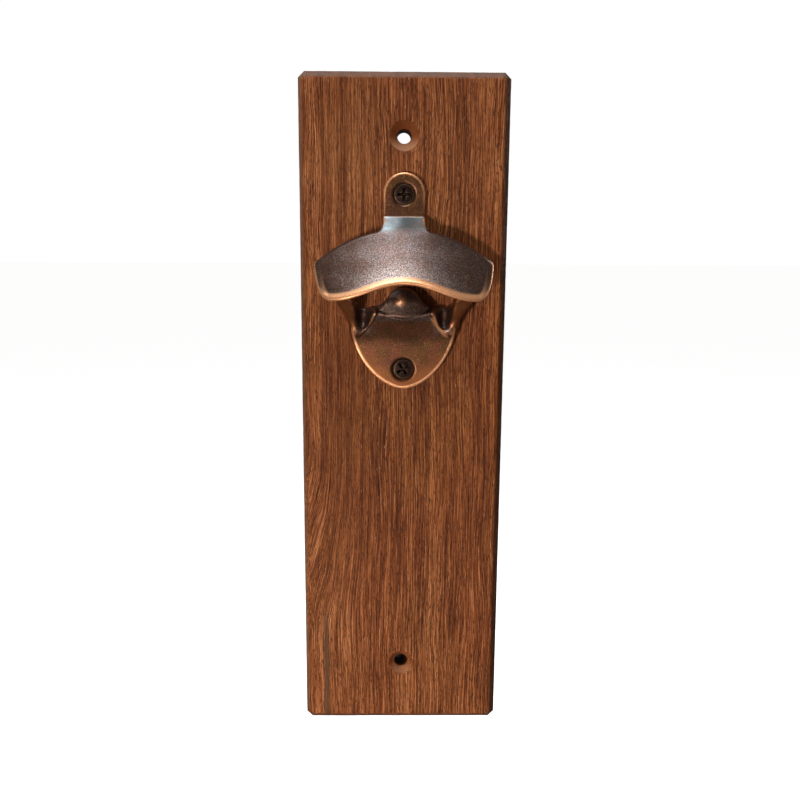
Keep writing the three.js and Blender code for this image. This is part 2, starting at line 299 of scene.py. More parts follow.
def apron_field(x, z, h, plate_edge):
    """Lip: an apron that climbs from the plate to a curved ridge, stepped and dished beside the legs."""
    side = np.abs(x)
    tip = np.minimum(side / LIP_TIP_X, 1)
    ridge_z = ridge_line(tip) - 0.5 * smoothstep(12.5, 14, side)
    climb = np.clip((z - APRON_FOOT_Z) / (ridge_z - APRON_FOOT_Z), 0, 1.3)
    ridge_height = LIP_HEIGHT - 0.6 + 0.8 * tip ** 2
    height = SHEET + (ridge_height - SHEET) * climb ** 1.2 - 0.4
    outside = side - crease_line(z)
    height = height + CREASE_STEP * smoothstep(-0.35, 0.5, outside) * smoothstep(-47, -44, z)
    height = height - APRON_DISH * smoothstep(0.8, 4.5, outside) * smoothstep(-43.5, -38, z)
    apron = smooth_max((h - height) * 0.86, (z - ridge_z - 0.28 * (ridge_height - h)) * 0.95, 1.4)
    shoulder = 0.6 + 2.6 * smoothstep(-47, -42, z)
    return flat_backed(smooth_max(apron, plate_edge, shoulder), h)


def tongue_field(x, z, h):
    """Tongue: a bell-shaped slope behind the lip, with a small pip."""
    pip = PIP_HEIGHT * near_pip(x, z, PIP_SPREAD)
    fall = TONGUE_SIDE_FALL * x * x + TONGUE_FALL * np.maximum(z - TONGUE_TURN_Z, 0) ** 2
    slope = TONGUE_HEIGHT - TONGUE_SLOPE * (z - LIP_CENTRE_Z) - fall + pip
    tongue = smooth_max((h - slope) * 0.9, outline_distance(x, z, tongue_outline()), 1.2)
    behind_ridge = ridge_line(np.abs(x) / LIP_TIP_X) + 0.4 - z
    tongue = smooth_max(tongue, behind_ridge, 0.7)
    return flat_backed(tongue, h)


def leg_inner_flank(z, h):
    """Distance of a leg's inner flank from the centre line. It grows towards the hood and the front."""
    above = np.maximum(z + 30, 0)
    below = np.maximum(-34 - z, 0)
    return LEG_INNER_X - 0.25 * below + 0.35 * above + 0.3 * (h - 6)


def leg_field(x, z, h, plate_edge, above_hood):
    """Legs: bars that climb from the plate's shoulders to the back of the hood, sloping on the inside."""
    side = np.abs(x)
    above_leg = (h - SHEET - LEG_SLOPE * (z - LEG_FOOT_Z)) / math.hypot(1, LEG_SLOPE)
    inner = leg_inner_flank(z, h) - side
    leg = smooth_max(above_leg, -above_leg - LEG_THICKNESS, 1.0)
    leg = smooth_max(smooth_max(leg, plate_edge, 1.6), inner * 0.91, 1.5)
    leg = smooth_max(leg, above_hood + 1.2, 0.6)
    return flat_backed(leg, h)


def scoop_field(x, z, h):
    """The pocket between each end of the lip and the leg beside it."""
    along_x = (np.abs(x) - SCOOP_X) / SCOOP_RADII[0]
    along_z = (z - SCOOP_Z) / SCOOP_RADII[1]
    along_h = (h - SCOOP_HEIGHT) / SCOOP_RADII[2]
    return (np.sqrt(along_x ** 2 + along_z ** 2 + along_h ** 2) - 1) * SCOOP_RADII[0]


def casting_field(x, z, h):
    """Signed distance to the casting on a grid: x and z are planes of shape (n, m, 1), and h is (1, 1, k)."""
    above_hood = (h - hood_front(x, z)) * slope_scale(hood_front, x, z)
    plate_edge = outline_distance(x, z, plate_outline())
    plate = smooth_max(flat_backed(h - SHEET, h), plate_edge, 0.55)
    plate = smooth_max(plate, z - WEB_TOP_Z, 0.8)
    lower = smooth_min(plate, apron_field(x, z, h, plate_edge), 1.6)
    lower = smooth_min(lower, tongue_field(x, z, h), 1.0)
    lower = smooth_min(lower, leg_field(x, z, h, plate_edge, above_hood), 3.6)
    lower = smooth_max(lower, -scoop_field(x, z, h), 2.4)
    casting = smooth_min(upper_field(x, z, h, above_hood), lower, 2.2)
    for screw_z in (UPPER_SCREW_Z, LOWER_SCREW_Z):
        radius = np.sqrt(x * x + (z - screw_z) ** 2)
        seat = (radius - np.minimum(SEAT_BACK_RADIUS + h, SEAT_RADIUS)) * CONE_SCALE
        casting = smooth_max(casting, -np.minimum(seat, radius - SCREW_HOLE_RADIUS), 0.3)
    return casting


def screw_field(x, z, h):
    """Signed distance to a countersunk wood screw on the axis x = z = 0, with h as on the casting."""
    radius = np.sqrt(x * x + z * z)
    depth = SCREW_TOP - h
    taper = np.clip((SCREW_LENGTH - depth) / TIP_LENGTH, 0, 1)
    turn = np.arctan2(z, x) / (2 * math.pi) + depth / THREAD_PITCH
    crest = np.maximum(1 - np.abs(turn - np.floor(turn) - 0.5) * 4, 0)
    below_head = depth - (HEAD_RADIUS - ROOT_RADIUS)
    thread = (CREST_RADIUS - ROOT_RADIUS) * crest * smoothstep(0.6, 2, below_head)
    shank = (radius - (ROOT_RADIUS + thread) * taper ** 0.7) * 0.7
    shank = smooth_max(shank, depth - SCREW_LENGTH, 0.2)
    head = (radius - HEAD_RADIUS + np.maximum(depth - HEAD_LAND, 0)) * CONE_SCALE
    head = smooth_max(head, radius - HEAD_RADIUS, 0.15)
    body = smooth_min(head, shank, 0.5)
    body = smooth_max(body, -depth + 0.016 * radius ** 2, 0.25)
    arm = RECESS_ARM + 0.1 - 0.12 * depth
    span = RECESS_SPAN + 0.2 - 0.55 * depth
    along = np.maximum(np.abs(x) - span, np.abs(z) - arm)
    across = np.maximum(np.abs(z) - span, np.abs(x) - arm)
    recess = smooth_max(smooth_min(along, across, 0.3), depth - RECESS_DEPTH, 0.3)
    return smooth_max(body, -recess, 0.2)


# -------------------------------- meshes from signed distances
def axes_from(axis):
    """Unit steps along an axis and along the two after it."""
    units = np.eye(3, dtype=np.int64)
    return units[axis], units[(axis + 1) % 3], units[(axis + 2) % 3]


def mean_crossings(field, cells):
    """Where the surface crosses the edges of each cell, on average, in grid steps."""
    total = np.zeros((len(cells), 3))
    crossings = np.zeros(len(cells))
    for axis in range(3):
        along, side_a, side_b = axes_from(axis)
        for offset in (0 * side_a, side_a, side_b, side_a + side_b):
            start = cells + offset
            end = start + along
            low = field[tuple(start.T)]
            high = field[tuple(end.T)]
            crossed = (low < 0) != (high < 0)
            t = low[crossed] / (low[crossed] - high[crossed])
            total[crossed] += start[crossed] + t[:, None] * along
            crossings[crossed] += 1
    return total / crossings[:, None]


def crossing_quads(inside, index, axis):
    """A quad round each grid edge along an axis that the surface crosses."""
    along, side_a, side_b = axes_from(axis)
    size = np.array(inside.shape) - along
    low = inside[tuple(slice(0, n) for n in size)]
    high = inside[tuple(slice(u, None) for u in along)]
    edges = np.argwhere(low != high)
    for side in ((axis + 1) % 3, (axis + 2) % 3):
        edges = edges[(edges[:, side] > 0) & (edges[:, side] < inside.shape[side] - 1)]
    ring = [edges - side_a - side_b, edges - side_b, edges, edges - side_a]
    quads = np.stack([index[tuple(corner.T)] for corner in ring], axis=1)
    flipped = ~inside[tuple(edges.T)]
    quads[flipped] = quads[flipped][:, ::-1]
    return quads


def surface_net(field, origin, step):
    """Vertices and quads of the zero surface of a field sampled on a regular grid."""
    inside = field < 0
    near = [slice(None, -1), slice(1, None)]
    corners = sum(
        inside[near[i], near[j], near[k]].astype(np.uint8) for i in (0, 1) for j in (0, 1) for k in (0, 1)
    )
    mixed = (corners > 0) & (corners < 8)
    cells = np.argwhere(mixed)
    index = np.full(mixed.shape, -1, np.int64)
    index[mixed] = np.arange(len(cells))
    vertices = origin + mean_crossings(field, cells) * step
    return vertices, np.concatenate([crossing_quads(inside, index, axis) for axis in range(3)])


def sample(grid, points, origin, step):
    """Trilinear values of a grid at points."""
    place = (points - origin) / step
    base = np.clip(np.floor(place).astype(int), 0, np.array(grid.shape) - 2)
    part = place - base
    value = 0
    for i in (0, 1):
        for j in (0, 1):
            for k in (0, 1):
                weight = np.abs(1 - i - part[:, 0]) * np.abs(1 - j - part[:, 1]) * np.abs(1 - k - part[:, 2])
                value = value + weight * grid[base[:, 0] + i, base[:, 1] + j, base[:, 2] + k]
    return value


def blurred(grid, passes):
    for _ in range(passes):
        for axis in range(3):
            grid = grid / 2 + (np.roll(grid, 1, axis) + np.roll(grid, -1, axis)) / 4
    return grid


def point_attribute(obj, name, values):
    attribute = obj.data.attributes.new(name, "FLOAT", "POINT")
    attribute.data.foreach_set("value", np.asarray(values, np.float32))


def bend_at(vertices, field, low, step):
    """How sharply the surface bends outwards at its vertices, or inwards where it is negative."""
    laplacian = np.zeros_like(field)
    for axis in range(3):
        laplacian += np.gradient(np.gradient(field, step, axis=axis), step, axis=axis)
    return sample(blurred(laplacian, 2), vertices, low, step)


def shelter_at(vertices, field, low, step):
    """How closed in each vertex is by the surfaces round it, from 0 in the open to 1."""
    slopes = [sample(part, vertices, low, step) for part in np.gradient(field, step)]
    normals = np.stack(slopes, axis=1)
    normals /= np.linalg.norm(normals, axis=1, keepdims=True) + 1e-9
    shelter = 0
    for reach in SHELTER_REACHES:
        room = sample(field, vertices + normals * reach, low, step)
        shelter = shelter + np.clip(1 - room / reach, 0, 1) / len(SHELTER_REACHES)
    return shelter


def piece_from_field(name, field_of, low, high, step, centre_z, turn=0.0):
    """A mesh of a signed distance in the casting's frame, and its vertices in that frame as (x, z, h)."""
    low, high = np.array(low, float), np.array(high, float)
    counts = np.ceil((high - low) / step).astype(int)
    xs, zs, hs = (low[i] + step * np.arange(counts[i]) for i in range(3))
    field = field_of(xs[:, None, None], zs[None, :, None], hs[None, None, :])
    field = np.broadcast_to(field, counts).astype(np.float32)
    vertices, faces = surface_net(field, low, step)
    x = vertices[:, 0] * math.cos(turn) - vertices[:, 1] * math.sin(turn)
    z = vertices[:, 0] * math.sin(turn) + vertices[:, 1] * math.cos(turn)
    placed = np.stack([x, CASTING_BACK - vertices[:, 2], centre_z + z], axis=1) * MM
    obj = new_mesh(name, placed, faces)
    point_attribute(obj, "bend", bend_at(vertices, field, low, step))
    point_attribute(obj, "shelter", shelter_at(vertices, field, low, step))
    return obj, vertices


def bright_lines(x, z, h, hood_edge, plate_edge, front, lower):
    """Rolled rim and lower plate edge; the pip and the worn crease right of the lip as painted highlights."""
    band = (1 - smoothstep(1.4, 2.4, np.abs(hood_edge + 0.8))) * smoothstep(-13, -19, z) * front
    band = band * smoothstep(36, 31, np.abs(x))
    # Painted highlight on the pip.
    pip = near_pip(x, z, PIP_HIGHLIGHT_SPREAD) * lower
    # The crease is worn, but only the right one is painted bright, as a highlight where the light from the
    # left falls.
    crease = np.exp(-(((x - crease_line(z)) / 0.8) ** 2)) * smoothstep(-47, -45, z)
    crease = crease * smoothstep(-36.6, -38, z) * lower
    plate_line = smoothstep(0.85, 0.35, np.abs(plate_edge + 0.35)) * smoothstep(-41, -43, z)
    plate_line = plate_line * smoothstep(1.2, 2, h)
    return np.maximum(np.maximum(band, pip), np.maximum(crease, 0.9 * plate_line))


def darkened(shelter, x, z, front, lower, below_neck, leg, pocket):
    """Shelter found from the shape, evened out on the legs and in the pockets, and raised in places."""
    # Painted shade on the lower parts up under the hood.
    shelter = np.maximum(shelter, 0.22 * lower * smoothstep(-42, -37, z)) * (1 - 0.85 * leg)
    shelter = shelter * (1 - 0.6 * pocket)
    foot_of_tab = smoothstep(20, 7, z) * (1 - below_neck) * front
    seat = smoothstep(7.5, 4.8, np.hypot(x, z - UPPER_SCREW_Z)) * front
    # Painted shade on the shoulder.
    shoulder = smoothstep(-13, -4, z) * smoothstep(2, -1, z) * front
    for amount, place in ((0.34, foot_of_tab), (0.36, seat), (0.38, shoulder)):
        shelter = np.maximum(shelter, amount * place)
    return shelter


def casting_wear(obj, x, z, h):
    """Where the casting is polished, rubbed bare or sheltered, and its painted reflection, highlights and
    shade, at each vertex.
    """
    side = np.abs(x)
    above_hood = h - hood_front(x, z)
    front = smoothstep(-3.6, -2.2, above_hood)
    lower = smoothstep(-8, -10, above_hood)
    below_neck = smoothstep(NECK_TOP_Z + 0.3, NECK_TOP_Z - 0.4, z)
    hood_edge = outline_distance(x, z, upper_outline())
    plate_edge = outline_distance(x, z, plate_outline())
    point_attribute(obj, "rubbed_and_highlight", bright_lines(x, z, h, hood_edge, plate_edge, front, lower))

    towards_middle = smoothstep(31, 10, side)
    near_rim = smoothstep(-11, -2, hood_edge) * smoothstep(-6, -14, z)
    # Hood, tongue and pockets: partly polish, partly painted reflection; the hood is greyer towards the
    # middle as a painted reflection of the light above.
    hood = below_neck * front * (0.62 + 0.28 * towards_middle)
    tongue = 0.75 * lower * smoothstep(-40, -37.5, z) * smoothstep(14, 12, side)
    pocket = lower * smoothstep(-47, -43, z) * smoothstep(12, 14, side) * smoothstep(21.5, 19.5, side)
    point_attribute(obj, "polish_and_reflection", np.maximum(np.maximum(hood, tongue), 0.6 * pocket))
    # Painted shade: the worn edge of the left crease is dulled, as it lies in shade; the tongue is simply
    # less worn.
    left_crease = lower * smoothstep(-49, -46, z) * smoothstep(-8, -10, x) * smoothstep(-21.5, -19.5, x)
    point_attribute(obj, "less_wear_and_shade", np.maximum(tongue, left_crease))
    # Painted highlight on the middle of the hood, near the rim.
    point_attribute(obj, "hood_highlight", near_rim * towards_middle * front)
    point_attribute(obj, "neck", below_neck * front * smoothstep(-2, 2, z))

    # Painted light: the legs' outer parts and the lower plate's margins are warmer and lighter, as where they
    # are lit.
    leg = smoothstep(LEG_INNER_X, LEG_INNER_X + 1.8, side) * lower
    near_edge = (1 - smoothstep(1.0, 9.0, -plate_edge)) * smoothstep(-48, -62, z)
    point_attribute(obj, "lit_margin", np.maximum(near_edge, 1.4 * leg * smoothstep(-44, -40, z)))

    stored = obj.data.attributes["shelter"].data
    shelter = np.empty(len(x), np.float32)
    stored.foreach_get("value", shelter)
    shelter = darkened(shelter, x, z, front, lower, below_neck, leg, pocket)
    stored.foreach_set("value", shelter)


def make_casting():
    obj, vertices = piece_from_field(
        "opener", casting_field, (-39.6, -70.6, -0.8), (39.6, 25.2, 29.4), CASTING_STEP, SHOULDER_Z
    )
    casting_wear(obj, *vertices.T)
    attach(obj, "root")
    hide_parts("opener_casting")
    return obj


def make_screw(name, node, screw_z, turn):
    reach = HEAD_RADIUS + 0.4
    obj, _ = piece_from_field(
        name,
        screw_field,
        (-reach, -reach, SCREW_TOP - SCREW_LENGTH - 0.5),
        (reach, reach, SCREW_TOP + 0.5),
        SCREW_STEP,
        SHOULDER_Z + screw_z,
        turn,
    )
    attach(obj, "root")
    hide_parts(node)
    return obj


# -------------------------------- board
def spread(start, end, cell):
    """Evenly spaced values from start to end, without the last one."""
    count = max(1, round(abs(end - start) / cell))
    return [start + (end - start) * i / count for i in range(count)]


def grid_lines(half, inset, places):
    """Grid lines across a face: one at each end of the clipped corners, and an even patch at each hole."""
    end = half - inset
    clip = CHAMFER - (2 - math.sqrt(2)) * inset
    inner = half - EDGE_STRIP
    lines = [-end, clip - end]
    start = -inner
    for place in sorted(places):
        lines += spread(start, place - PATCH, CELL)
        lines += spread(place - PATCH, place + PATCH, 2 * PATCH / PATCH_CELLS)
        start = place + PATCH
    lines += spread(start, inner, CELL)
    return [*lines, inner, end - clip, end]


def face_grid(vertices, faces, xs, zs, y, holes, backwards):
    """A flat face of the board as a grid, left open at the holes. Returns the vertex numbers."""
    open_rows = [range(zs.index(hole - PATCH), zs.index(hole - PATCH) + PATCH_CELLS) for hole in holes]
    first = xs.index(-PATCH)
    open_columns = range(first, first + PATCH_CELLS)
    last_x, last_z = len(xs) - 1, len(zs) - 1
    number = {}
    for i, x in enumerate(xs):
        for j, z in enumerate(zs):
            corner = i in (0, last_x) and j in (0, last_z)
            covered = i in open_columns[1:] and any(j in rows[1:] for rows in open_rows)
            if corner or covered:
                continue
            number[i, j] = len(vertices)
            vertices.append((x, y, z))
    for i in range(last_x):
        for j in range(last_z):
            if i in open_columns and any(j in rows for rows in open_rows):
                continue
            ring = [number[c] for c in ((i, j), (i + 1, j), (i + 1, j + 1), (i, j + 1)) if c in number]
            faces.append(ring[::-1] if backwards else ring)
    return number


def join_rings(faces, inner, outer):
    for k in range(len(inner)):
        following = (k + 1) % len(inner)
        faces.append((inner[k], inner[following], outer[following], outer[k]))


def patch_ring(number, xs, zs, hole):
    """Vertex numbers round the square left open at a hole, anticlockwise seen from the front."""
    i0, j0 = xs.index(-PATCH), zs.index(hole - PATCH)
    n = PATCH_CELLS
    ring = [(i0 + k, j0) for k in range(n)] + [(i0 + n, j0 + k) for k in range(n)]
    ring += [(i0 + n - k, j0 + n) for k in range(n)] + [(i0, j0 + n - k) for k in range(n)]
    return [number[c] for c in ring]


def lathe_rings(vertices, faces, ring, hole, rings):
    """Rings inwards from the square patch at a hole, each given as (squareness, radius, y)."""
    around = [(vertices[v][0], vertices[v][2] - hole) for v in ring]
    for squareness, radius, y in rings:
        made = []
        for dx, dz in around:
            scale = radius / math.hypot(dx, dz) * (1 - squareness) + squareness
            made.append(len(vertices))
            vertices.append((dx * scale, y, hole + dz * scale))
        join_rings(faces, made, ring)
        ring = made
    return ring


def rounding(radius, y):
    """Rings that turn a square patch into a circle, on the face of the board."""
    return [(squareness, radius, y) for squareness in PATCH_SQUARENESS]


def turned(profile):
    """Rings for a hole with a profile of (radius, y) pairs, which starts at the face."""
    radius, y = profile[0]
    return rounding(radius, y) + [(0, radius, y) for radius, y in profile]


def outline_ring(number, xs, zs):
    """Vertex numbers round a face, with the direction in which each one moves as the outline grows."""
    last_x, last_z = len(xs) - 1, len(zs) - 1

    def shift(place, last):
        """How far a clipped corner's end moves along its side for each unit that it moves outwards."""
        return (math.sqrt(2) - 1) * ((place == last - 1) - (place == 1))

    ring = [(number[i, 0], (shift(i, last_x), -1)) for i in range(1, last_x)]
    ring += [(number[last_x, j], (1, shift(j, last_z))) for j in range(1, last_z)]
    ring += [(number[i, last_z], (shift(i, last_x), 1)) for i in range(last_x - 1, 0, -1)]
    ring += [(number[0, j], (-1, shift(j, last_z))) for j in range(last_z - 1, 0, -1)]
    return ring


def edge_profile():
    """Section of the board's edge, as (inset, depth behind the front), from the front to the back."""
    points = [(CHAMFER + 0.15, 0.02), (CHAMFER - 0.05, 0.1), (CHAMFER - 0.27, 0.29)]
    points += [(CHAMFER - depth, depth) for depth in (0.9, 1.6, 2.2)]
    points += [(0.27, CHAMFER - 0.25), (0.1, CHAMFER - 0.06), (0.02, CHAMFER + 0.15), (0, FRONT_INSET)]
    points += [(0, depth) for depth in np.linspace(FRONT_INSET, THICKNESS - BACK_EASE, 8)[1:]]
    points += [(0.08, THICKNESS - 0.08)]
    return points


def worn(x, y, z):
    """How far wear and planing have taken a point near an edge inwards."""
    place = Vector((x, y, z))
    broad = noise.noise(place * 0.06) * 0.5 + 0.5
    fine = noise.noise(place * 0.35 + Vector((31.0, 7.0, 3.0))) * 0.5 + 0.5
    return BROAD_WEAR * broad + NICK_WEAR * max(fine - 0.45, 0)


def countersink_profile(mouth, front):
    """Mouth, cone and bore of a wall hole, as (radius, y) from the front to just inside the back."""
    cone = mouth - BORE_RADIUS
    straight = cone - 0.6
    points = [(mouth + 0.3, front), (mouth + 0.12, front + 0.03), (mouth - 0.08, front + 0.14)]
    for share in (0, 0.35, 0.7, 1):
        points.append((mouth - 0.3 - share * straight, front + 0.3 + share * straight))
    points += [(BORE_RADIUS + 0.08, front + cone - 0.08), (BORE_RADIUS, front + cone + 0.25)]
    points += [(BORE_RADIUS, y) for y in np.linspace(front + cone + 1, -0.3, 7)]
    points += [(BORE_RADIUS + 0.08, -0.08), (BORE_END_RADIUS, 0)]
    return points


def pilot_profile(front):
    """A blind hole for a screw, down to its drilled point."""
    bottom = front + SCREW_LENGTH - SHEET + 0.5
    points = [(PILOT_RADIUS + 0.1, front), (PILOT_RADIUS, front + 0.1)]
    points += [(PILOT_RADIUS, y) for y in np.linspace(front + 1, bottom - PILOT_RADIUS, 6)]
    return [*points, (0.2, bottom - 0.2)]


def edge_rings(vertices, faces, border, front):
    """The chamfered and slightly worn edge of the board, from the front face's border to the back."""
    ring = [v for v, _ in border]
    base = [vertices[v] for v in ring]
    for inset, depth in edge_profile():
        grow = FRONT_INSET - inset
        made = []
        for (x, _, z), (_, (out_x, out_z)) in zip(base, border):
            px, py, pz = x + out_x * grow, front + depth, z + out_z * grow
            loss = worn(px, py, pz)
            made.append(len(vertices))
            vertices.append((px - out_x * loss, py + 0.6 * loss * (depth < CHAMFER), pz - out_z * loss))
        join_rings(faces, ring, made)
        ring = made
    return ring


def finish_board_mesh(mesh):
    """Normals all outwards, smooth faces, and sharp lines at the corners."""
    cleaned = bmesh.new()
    cleaned.from_mesh(mesh)
    bmesh.ops.recalc_face_normals(cleaned, faces=cleaned.faces)
    cleaned.to_mesh(mesh)
    cleaned.free()
    mesh.shade_smooth()
    mesh.set_sharp_from_angle(angle=math.radians(32))


def make_board():
    vertices, faces = [], []
    front = -THICKNESS
    pilots = [SHOULDER_Z + UPPER_SCREW_Z, SHOULDER_Z + LOWER_SCREW_Z]
    wall_holes = [z for z, _, _ in WALL_HOLES]
    places = [*wall_holes, *pilots]
    xs = grid_lines(HALF_WIDTH, FRONT_INSET, [0])
    zs = grid_lines(HALF_HEIGHT, FRONT_INSET, places)
    front_grid = face_grid(vertices, faces, xs, zs, front, places, False)
    back_xs = grid_lines(HALF_WIDTH, BACK_EASE, [0])
    back_zs = grid_lines(HALF_HEIGHT, BACK_EASE, places)
    back_grid = face_grid(vertices, faces, back_xs, back_zs, 0.0, wall_holes, True)
    for z, mouth, _ in WALL_HOLES:
        patch = patch_ring(front_grid, xs, zs, z)
        bore_end = lathe_rings(vertices, faces, patch, z, turned(countersink_profile(mouth, front)))
        patch = patch_ring(back_grid, back_xs, back_zs, z)
        back_ring = lathe_rings(vertices, faces, patch, z, rounding(BORE_END_RADIUS, 0.0))
        join_rings(faces, back_ring, bore_end)
    for z in pilots:
        patch = patch_ring(front_grid, xs, zs, z)
        faces.append(lathe_rings(vertices, faces, patch, z, turned(pilot_profile(front))))
    edge = edge_rings(vertices, faces, outline_ring(front_grid, xs, zs), front)
    join_rings(faces, edge, [v for v, _ in outline_ring(back_grid, back_xs, back_zs)])
    obj = new_mesh("board", np.array(vertices) * MM, faces)
    finish_board_mesh(obj.data)
    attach(obj, "root")
    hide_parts("wooden_board")
    return obj


# -------------------------------- materials in general
class Shader:
    """Short names for building a node material on one Principled shader."""

    def __init__(self, name):
        self.material = bpy.data.materials.new(name)
        self.material.use_nodes = True
        self.tree = self.material.node_tree
        self.principled = self.tree.nodes["Principled BSDF"]
        self.place = self.scaled(self.add("ShaderNodeTexCoord").outputs["Object"], (1 / MM,) * 3)

    def add(self, kind):
        return self.tree.nodes.new(kind)

    def feed(self, socket, value):
        if isinstance(value, bpy.types.NodeSocket):
            self.tree.links.new(value, socket)
        else:
            socket.default_value = value

    def operate(self, kind, operation, a, b):
        node = self.add(kind)
        node.operation = operation
        self.feed(node.inputs[0], a)
        self.feed(node.inputs[1], b)
        return node.outputs[0]

    def math(self, operation, a, b=0.0):
        return self.operate("ShaderNodeMath", operation, a, b)

    def plus(self, a, b):
        return self.math("ADD", a, b)

    def minus(self, a, b):
        return self.math("SUBTRACT", a, b)

    def times(self, a, b):
        return self.math("MULTIPLY", a, b)

    def scaled(self, vector, scale):
        return self.operate("ShaderNodeVectorMath", "MULTIPLY", vector, scale)

    def moved(self, vector, offset):
        return self.operate("ShaderNodeVectorMath", "ADD", vector, offset)

    def split(self, vector):
        node = self.add("ShaderNodeSeparateXYZ")
        self.feed(node.inputs[0], vector)
        return node.outputs

    def joined(self, x, y, z):
        node = self.add("ShaderNodeCombineXYZ")
        for socket, value in zip(node.inputs, (x, y, z)):
            self.feed(socket, value)
        return node.outputs[0]

    def noise(self, vector, scale=1.0, detail=2.0, roughness=0.5):
        node = self.add("ShaderNodeTexNoise")
        self.feed(node.inputs["Vector"], vector)
        node.inputs["Scale"].default_value = scale
        node.inputs["Detail"].default_value = detail
        node.inputs["Roughness"].default_value = roughness
        return node.outputs["Fac"]

    def steps(self, value, low, high, to_low=0.0, to_high=1.0):
        """A smooth rise from to_low to to_high as the value goes from low to high."""
        node = self.add("ShaderNodeMapRange")
        node.interpolation_type = "SMOOTHSTEP"
        for socket, number in zip(node.inputs, (value, low, high, to_low, to_high)):
            self.feed(socket, number)
        return node.outputs[0]

    def ramp(self, value, stops):
        node = self.add("ShaderNodeValToRGB")
        self.feed(node.inputs[0], value)
        elements = node.color_ramp.elements
        while len(elements) < len(stops):
            elements.new(0.5)
        for element, (position, colour) in zip(elements, stops):
            element.position = position
            element.color = (*colour, 1)
        return node.outputs[0]

    def mix(self, factor, a, b, blend="MIX"):
        node = self.add("ShaderNodeMix")
        node.data_type = "RGBA"
        node.blend_type = blend
        self.feed(node.inputs[0], factor)
        for socket, colour in ((node.inputs[6], a), (node.inputs[7], b)):
            self.feed(socket, (*colour, 1) if isinstance(colour, tuple) else colour)
        return node.outputs[2]

    def attribute(self, name):
        node = self.add("ShaderNodeAttribute")
        node.attribute_name = name
        return node.outputs["Fac"]

    def bump(self, height, depth, strength=1.0):
        node = self.add("ShaderNodeBump")
        node.inputs["Distance"].default_value = depth * MM
        node.inputs["Strength"].default_value = strength
        self.feed(node.inputs["Height"], height)
        self.feed(self.principled.inputs["Normal"], node.outputs[0])

    def finish(self, obj, colour, roughness, metallic, **constants):
        self.feed(self.principled.inputs["Base Color"], colour)
        self.feed(self.principled.inputs["Roughness"], roughness)
        self.feed(self.principled.inputs["Metallic"], metallic)
        for name, value in constants.items():
            self.principled.inputs[name.replace("_", " ")].default_value = value
        obj.data.materials.clear()
        obj.data.materials.append(self.material)


# -------------------------------- the board's wood
# Colours are linear. Those in a ramp each follow the value at which they stand.
GRAIN_COLOURS = (
    (0.37, (0.050, 0.012, 0.003)),
    (0.45, (0.155, 0.040, 0.009)),
    (0.53, (0.265, 0.078, 0.019)),
    (0.63, (0.56, 0.22, 0.085)),
)
REDDER_WOOD = (0.92, 0.84, 0.8)
PALER_WOOD = (1.08, 1.12, 1.14)
BOTTOM_TINT = (1.25, 1.25, 1.3)
MIDDLE_TINT = (0.92, 0.83, 0.62)
TOP_TINT = (1, 1, 1)
PORE = (0.052, 0.015, 0.006)
FLECK = (0.52, 0.30, 0.18)
MINERAL_STREAK = (0.125, 0.058, 0.029)
MINERAL_STREAK_X = -36.6
RIGHT_SIDE_SHADE = (0.028, 0.010, 0.005)
LEFT_SIDE_GREY = (0.20, 0.115, 0.075)
END_PAINTED_LIGHT = (0.17, 0.115, 0.09)
# Painted light and shade in the wall holes: lit where the cone faces up, shaded where it faces down and in
# the bore.
CONE_PAINTED_LIGHT = (0.50, 0.235, 0.12)
CONE_PAINTED_SHADE = (0.20, 0.052, 0.011)
BORE_PAINTED_SHADE = (0.012, 0.003, 0.001)


def along_grain(s, x, y, z):
    """Coordinates in which the grain runs straight: it wanders a little, and leans at the lower left."""
    drift = s.noise(s.scaled(s.place, (0.05, 0.05, 0.014)), detail=1.5)
    ripple = s.noise(s.scaled(s.place, (0.35, 0.35, 0.09)), detail=1.0)
    lean = s.times(s.steps(z, -110.0, -12.0, 0.0, 17.0), s.steps(x, -12.0, -38.0))
    across = s.minus(x, lean)
    across = s.plus(across, s.times(drift, 7.0))
    across = s.plus(across, s.times(ripple, 0.7))
    return s.joined(across, y, z)


def grain_tone(s, grain):
    """How light the wood is, from fine streaks and broad bands."""
    long_streaks = s.noise(s.scaled(grain, (3.7, 3.7, 0.034)), detail=2.0, roughness=0.62)
    short_streaks = s.noise(s.scaled(grain, (4.4, 4.4, 0.11)), detail=1.5, roughness=0.6)
    bands = s.noise(s.scaled(s.moved(grain, (40.0, 3.0, 9.0)), (0.2, 0.2, 0.006)), detail=3.0, roughness=0.6)
    tone = s.plus(s.times(long_streaks, 0.68), s.times(short_streaks, 0.32))
    return s.plus(tone, s.times(s.minus(bands, 0.5), 0.25))


def broad_colour(s, colour, z):
    """The wood's colour changes in soft patches, and from the bottom of the board to the top."""
    patches = s.noise(s.scaled(s.moved(s.place, (7.0, 50.0, 21.0)), (0.035, 0.035, 0.016)), detail=2.0)
    patch_tint = s.mix(s.steps(patches, 0.35, 0.65), REDDER_WOOD, PALER_WOOD)
    colour = s.mix(1.0, colour, patch_tint, "MULTIPLY")
    upper = s.mix(s.steps(z, 20.0, 120.0), MIDDLE_TINT, TOP_TINT)
    tint = s.mix(s.steps(z, -110.0, 0.0), BOTTOM_TINT, upper)
    return s.mix(1.0, colour, tint, "MULTIPLY")


def mineral_streak(s, colour, x, z):
    """One broad streak near the lower left edge, greyer than the wood beside it."""
    wander = s.times(s.noise(s.scaled(s.place, (0.02, 0.02, 0.05))), 3.0)
    away = s.math("ABSOLUTE", s.minus(s.minus(x, wander), MINERAL_STREAK_X))
    streak = s.times(s.steps(away, 1.5, 0.8), s.steps(z, -84.0, -108.0, 0.0, 0.85))
    return s.mix(streak, colour, MINERAL_STREAK)


